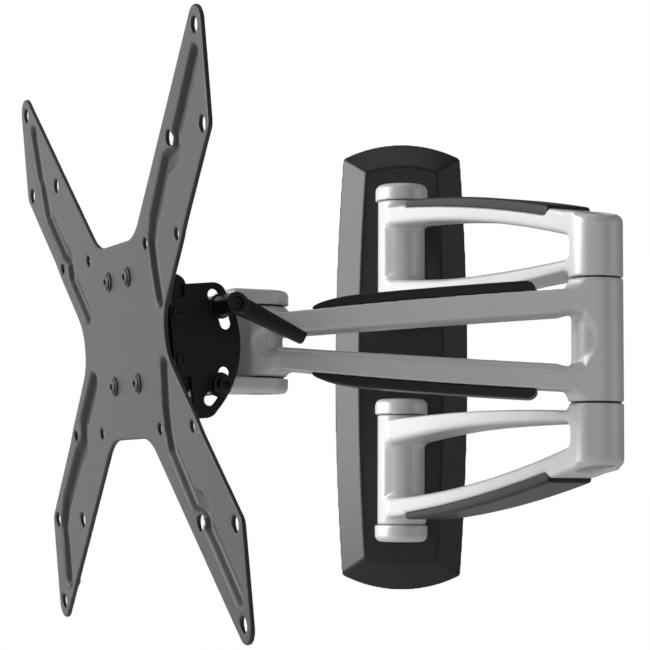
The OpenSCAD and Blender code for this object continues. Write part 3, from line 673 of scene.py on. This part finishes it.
def screen_channel():
    voxel = 0.6
    lo, hi = (-29, -27, -34), (4, 27, 49)
    x, y, z = spread(lo, hi, voxel)
    web_top, web_bottom, front, wall = 46, -31, SHEET_FRONT - SHEET_T, 3.0
    ahead, aside = x - front, np.abs(y) - PLATE_IN
    shell = keep(ahead, aside, 4.0) + 0 * z
    shell = cut(shell, keep(ahead + wall, aside + wall, 1.5) + 0 * z, 0.3)
    profile = outline(x, z, arc(-20, 30.5, 7, 180, 100, 8)
                      + [(-6, 42), (front, web_top), (front + 9, web_top),
                         (front + 9, web_bottom), (-20, web_bottom), (-27, web_bottom + 6)])
    d = keep(shell, profile + 0 * y, 0.6)
    d = drilled(d, x, z, CHANNEL_SCREWS, CHANNEL_SCREW_BORE)
    d = drilled(d, np.abs(y), z - SHEET_LIFT, PLATE_SCREWS, PLATE_SCREW_BORE)
    # The channel gets the darker copy of the black sheet, which is painted shade
    node_mesh("screen_channel", d, lo, voxel, AT_TILT, SHADED_SHEET_BLACK)


screen_channel()


def slot_plate(node, matrix):
    voxel = 0.4
    lo, hi = (-58, 24, -46), (-13, 29, 34)
    x, y, z = spread(lo, hi, voxel)
    top, bottom, corner, slot_half = 31.3, -43.5, 8, 3.3
    flat = outline(x, z, [(-24, top)] + arc(-41.4, top - corner, corner, 90, 150.6, 8)
                   + arc(0, 0, 55.3, 152, 226, 30) + arc(-31.6, bottom + corner, corner, 228.3, 270, 8)
                   + [(-24, bottom), (-24, -20), (-15, -20), (-15, 24), (-24, 24)])
    for middle in (27, -27):
        centre = arc(0, 0, SLOT_R, 180 - middle + 17.5, 180 - middle - 3.5, 16)
        slot = to_path(x, z, centre) - slot_half
        flat = np.maximum(flat, -slot)
    flat = drilled(flat, x, z, CHANNEL_SCREWS, CHANNEL_SCREW_BORE)
    d = solid(flat, between(y, PLATE_IN + 0.02, PLATE_OUT) + 0 * x, 0.5)
    # The slot plates get the darker copy of the black sheet, which is painted shade
    node_mesh(node, d, lo, voxel, matrix, SHADED_SHEET_BLACK)


slot_plate("near_slot_plate", AT_TILT)
slot_plate("far_slot_plate", AT_TILT @ Matrix.Diagonal((1, -1, 1, 1)))


def channel_screws():
    voxel, lo = 0.25, (-6, -6, 16)
    head_r, head_top, head_under, crown = 3.3, 29.8, 28.02, 0.5
    x, y, z = spread(lo, (6, 6, 31), voxel)
    r = np.hypot(x, y)
    dome = np.maximum(z - head_top + crown * (r / head_r) ** 2, head_under - z)
    d = keep(r - head_r + 0 * z, dome, 0.3)
    d = np.maximum(d, -cross_recess(x, y, z, 1.9, 28.8))
    d = np.minimum(d, np.maximum(threaded(x, y, z, 2.0, 0.8), between(z, 17.8, 28.5) + 0 * x))
    d = np.minimum(d, np.maximum(hexagon(x, y, 6.2) + 0 * z, between(z, 18.6, 21.8)))
    node_mesh("channel_screws", d, lo, voxel,
              [on_tilt(px, 0, pz, "face", "-up", "side") for px, pz in CHANNEL_SCREWS]
              + [on_tilt(px, 0, pz, "face", "up", "-side") for px, pz in CHANNEL_SCREWS], BLACK_STEEL)


channel_screws()


def plate_screws():
    voxel, lo, face = 0.25, (-7, -7, -4), SHEET_FRONT
    flange_r, head_r, head_h = 5.6, 4.6, 2.4
    x, y, z = spread(lo, (7, 7, 8), voxel)
    r = np.hypot(x, y)
    d = keep(r - flange_r + 0 * z, between(z, face + 0.02, face + 0.8) + 0 * r, 0.3)
    d = join(d, keep(r - head_r + 0 * z, z - face - head_h + 0.9 * (r / head_r) ** 2, 0.8), 0.4)
    d = np.maximum(d, face + 0.02 - z)
    d = np.maximum(d, -np.maximum(hexagon(x, y, 3.3) + 0 * z, face + 0.9 - z))
    d = np.minimum(d, np.maximum(threaded(x, y, z, 3.0), between(z, -2.7, face + 0.4) + 0 * r))
    node_mesh("plate_screws", d, lo, voxel,
              [on_tilt(0, side * py, SHEET_LIFT + pz, "-up", "side", "face")
               for py, pz in PLATE_SCREWS for side in (1, -1)], BLACK_STEEL)


plate_screws()


def tilt_hardware():
    """Washers on both sides of the head, the nuts, and the two bolts."""
    voxel, bolt_r = 0.3, 3.0
    lo = (-8, -8, 27.5)
    x, y, z = spread(lo, (8, 8, 31), voxel)
    washer_r, nut_across, nut_waist = 7.0, 9.5, -31.4
    ring = np.maximum(np.hypot(x, y) - washer_r, BOLT_BORE - np.hypot(x, y))
    washer = solid(ring, between(z, 28.3, NEAR_END), 0.25)
    node_mesh("tilt_washers", washer, lo, voxel,
              [AT_BOLT[s] @ m for s in (1, -1) for m in (Matrix.Identity(4), LOWER)], BLACK_STEEL)

    lo = (-7, -7, -36)
    x, y, z = spread(lo, (7, 7, -28), voxel)
    r = np.hypot(x, y)
    nut = keep(hexagon(x, y, nut_across) + 0 * z, between(z, -33.2, -29.52) + 0 * r, 0.2)
    nut = keep(nut, (r - 5.4 + np.abs(z - nut_waist) * 0.35 - 0.3) + 0 * nut, 0.2)
    nut = join(nut, solid(r - 4.3, between(z, -34.5, -30), 0.5), 0.3)
    nut = np.maximum(nut, BOLT_BORE - r + 0 * z)
    node_mesh("tilt_nuts", nut, lo, voxel, [AT_BOLT[1], AT_BOLT[-1]], BLACK_STEEL)

    # The lower bolt has a flanged head with a grooved knob and a hexagonal socket.
    lo = (-7, -7, -38)
    x, y, z = spread(lo, (7, 7, 41), voxel)
    r = np.hypot(x, y)
    thread = np.where(z < -20, threaded(x, y, z, bolt_r), r - bolt_r + 0 * z)
    shank = keep(thread, between(z, BOLT_END, 30) + 0 * r, 0.5)
    bolt = np.minimum(shank, solid(r - 5.4, between(z, NEAR_END, 33.5), 0.8))
    grooves = 0.15 * (1 + np.cos(18 * np.arctan2(y, x)))
    knob = solid(r - 3.9 + grooves, between(z, 33, 38.5), 0.6)
    knob = np.maximum(knob, -np.maximum(hexagon(x, y, 4.0) + 0 * z, 35.5 - z))
    bolt = join(bolt, knob, 0.6)
    node_mesh("lower_tilt_bolt", bolt, lo, voxel, AT_BOLT[-1], BLACK_STEEL)

    lo = (-5, -5, -38)
    x, y, z = spread(lo, (5, 5, 46), voxel)
    rod = keep(threaded(x, y, z, bolt_r), between(z, BOLT_END, 43.7) + 0 * np.hypot(x, y), 0.5)
    node_mesh("clamp_bolt", rod, lo, voxel, AT_BOLT[1], BLACK_STEEL)


tilt_hardware()

LEVER_AT, LEVER_TOP = NEAR_END + 0.2, 55.0


def clamp_lever():
    voxel, lo = 0.35, (-50, -10, 28)
    length, hub_r, wide, narrowing = 44.5, 6.0, 5.2, 1.9
    way = math.radians(156)               # where the lever points at rest
    top = LEVER_TOP
    x, y, z = spread(lo, (10, 29, 57), voxel)
    u = x * math.cos(way) + y * math.sin(way)
    v = -x * math.sin(way) + y * math.cos(way)
    r = np.hypot(x, y)
    half = wide - narrowing * np.clip(u / length, 0, 1)

    hub = solid(r - hub_r, between(z, LEVER_AT, top), 1.0)
    screw_bore, recess_r = 1.6, 3.6
    groove = solid(np.abs(r - 6.2) - 0.35, between(z, LEVER_AT + 4, LEVER_AT + 5.2), 0.2)
    hub = cut(hub, groove, 0.2)

    # The bar tapers, is chamfered along both upper edges and is hollow underneath.
    plan = np.maximum(np.abs(v) - half, between(u, 0, length))
    bar = solid(plan, between(z, top - 7, top - 0.5), 0.9)
    bar = keep(bar, (-0.62 * v + 0.78 * (z - top + 0.5)) - 0.62 * (half - 2.4), 0.5)
    bar = keep(bar, (0.5 * v + 0.87 * (z - top + 0.5)) - 0.5 * (half - 1.0), 0.5)
    hollow = np.maximum(np.abs(v) - half + 1.6, between(u, 9, length - 2))
    bar = cut(bar, solid(hollow, between(z, top - 9, top - 5.5), 0.3), 0.3)

    d = join(hub, bar, 1.5)
    d = np.maximum(d, z - top + 0 * r)
    d = cut(d, post(x, y, z, 0, recess_r, top - 3, top + 3, SHARP), 0.5)
    d = bored(d, x, y, z, 0, BOLT_BORE, LEVER_AT - 3, LEVER_AT + 14)
    d = bored(d, x, y, z, 0, screw_bore, LEVER_AT, top + 3)
    node_mesh("clamp_lever", d, lo, voxel, AT_BOLT[1], BLACK_STEEL)


clamp_lever()


def lever_screw():
    voxel, head_r, top = 0.2, 3.4, LEVER_TOP
    lo = (-5, -5, top - 7)
    x, y, z = spread(lo, (5, 5, top + 1), voxel)
    r = np.hypot(x, y)
    dome = np.maximum(z - top + 0.6 + 0.6 * (r / head_r) ** 2, top - 3 - z)
    head = keep(r - head_r + 0 * z, dome, 0.3)
    d = np.maximum(head, -cross_recess(x, y, z, 2.1, top - 2.0))
    d = np.minimum(d, np.maximum(r - 1.5 + 0 * z, between(z, top - 6, top - 2.5) + 0 * r))
    node_mesh("lever_screw", d, lo, voxel, AT_BOLT[1], BLACK_STEEL)


lever_screw()


def elbow_fasteners():
    """The elbow's pin, with its head in the lower recess, and its nut in the upper one."""
    voxel = 0.4
    at_elbow = placed(ELBOW, Vector((1, 0, 0)), Vector((0, 1, 0)), UP)
    lo = (-11, -11, -71)
    x, y, z = spread(lo, (11, 11, 71), voxel)
    r = np.hypot(x, y)
    low = -RECESS_FLOOR - 5.0
    head = solid(r - 9.5, between(z, low, -RECESS_FLOOR - 0.1), 0.9)
    head = np.maximum(head, -np.maximum(hexagon(x, y, 6.9) + 0 * z, z - low - 3))
    thread = np.where(z > 55, threaded(x, y, z, 6.0, 1.5), r - 6.0 + 0 * z)
    shank = keep(thread, between(z, low + 4, 68) + 0 * r, 0.8)
    node_mesh("elbow_pin", np.minimum(head, shank), lo, voxel, at_elbow, STEEL)

    lo = (-11, -11, 62)
    x, y, z = spread(lo, (11, 11, 71), voxel)
    r = np.hypot(x, y)
    height = between(z, RECESS_FLOOR + 0.1, RECESS_FLOOR + 5.1)
    nut = keep(hexagon(x, y, 16.4) + 0 * z, height + 0 * r, 0.2)
    nut = keep(nut, 0.8 * (r - 9.3) + 0.5 * (z - RECESS_FLOOR - 4.6), 0.3)
    nut = np.maximum(nut, PIN_BORE - r + 0 * z)
    node_mesh("elbow_nut", nut, lo, voxel, at_elbow, STEEL)


elbow_fasteners()

# ---- Floor, light and camera ----


def plain(name, colour):
    mat = bpy.data.materials.new(name)
    mat.use_nodes = True
    bsdf = mat.node_tree.nodes["Principled BSDF"]
    bsdf.inputs["Base Color"].default_value = (*colour, 1.0)
    bsdf.inputs["Roughness"].default_value = 0.9
    return mat


def floor():
    half, back, drop = 2.4, 0.9, 0.34     # metres
    corners = [(-half, -half, -drop), (half, -half, -drop), (half, back, -drop), (-half, back, -drop)]
    mesh = bpy.data.meshes.new("floor")
    mesh.from_pydata(corners, [], [(0, 1, 2, 3)])
    mesh.materials.append(plain("floor_white", (0.82, 0.82, 0.82)))
    obj = bpy.data.objects.new("floor", mesh)
    bpy.context.scene.collection.objects.link(obj)


floor()
TARGET = Vector((0, -0.15, 0))            # where the lights point, in metres


def soft_light(name, at, size, watts):
    light = bpy.data.lights.new(name, "AREA")
    light.shape = "RECTANGLE"
    light.size, light.size_y = size
    light.energy = watts
    obj = bpy.data.objects.new(name, light)
    obj.location = at
    obj.rotation_euler = (TARGET - Vector(at)).to_track_quat("-Z", "Y").to_euler()
    bpy.context.scene.collection.objects.link(obj)


soft_light("key", (-1.95, -0.42, 0.25), (1.2, 2.2), 56)
soft_light("backdrop", (-1.55, 1.0, 0.1), (2.3, 2.4), 17)
soft_light("fill", (0.3, -2.6, 0.5), (2.0, 1.6), 4.0)
soft_light("side", (1.9, -0.6, 0.4), (1.2, 1.8), 2.5)
soft_light("top", (-0.2, -0.3, 1.9), (1.6, 1.6), 3.5)


def white_world(ambient=0.17):
    """White to the camera, and a dim even glow to everything else."""
    world = bpy.data.worlds.new("studio")
    bpy.context.scene.world = world
    world.use_nodes = True
    nt = world.node_tree
    seen = nt.nodes["Background"]
    seen.inputs["Strength"].default_value = 1.0
    seen.inputs["Color"].default_value = (1, 1, 1, 1)
    glow = nt.nodes.new("ShaderNodeBackground")
    glow.inputs["Strength"].default_value = ambient
    glow.inputs["Color"].default_value = (1, 1, 1, 1)
    path, mix = nt.nodes.new("ShaderNodeLightPath"), nt.nodes.new("ShaderNodeMixShader")
    nt.links.new(path.outputs["Is Camera Ray"], mix.inputs["Fac"])
    nt.links.new(glow.outputs["Background"], mix.inputs[1])
    nt.links.new(seen.outputs["Background"], mix.inputs[2])
    nt.links.new(mix.outputs["Shader"], nt.nodes["World Output"].inputs["Surface"])


white_world()
bpy.context.scene.view_settings.view_transform = "Standard"


def camera():
    """Looks along +Y from just below the mount, turned a little to one side; in metres."""
    yaw, pitch, roll = math.radians(1.85), math.radians(4.45), math.radians(0.22)
    level = Vector((-math.sin(yaw), math.cos(yaw), 0))
    forward = level * math.cos(pitch) + UP * math.sin(pitch)
    right = forward.cross(UP).normalized()
    above = right.cross(forward)
    turned = right * math.cos(roll) + above * math.sin(roll)
    above = above * math.cos(roll) - right * math.sin(roll)
    data = bpy.data.cameras.new("camera")
    data.lens, data.sensor_width = 127.2, 36.0
    data.clip_start, data.clip_end = 0.05, 50
    cam = bpy.data.objects.new("camera", data)
    cam.matrix_world = placed(Vector((-0.0016, -1.5245, -0.0916)), turned, above, -forward)
    bpy.context.scene.collection.objects.link(cam)
    bpy.context.scene.camera = cam


camera()
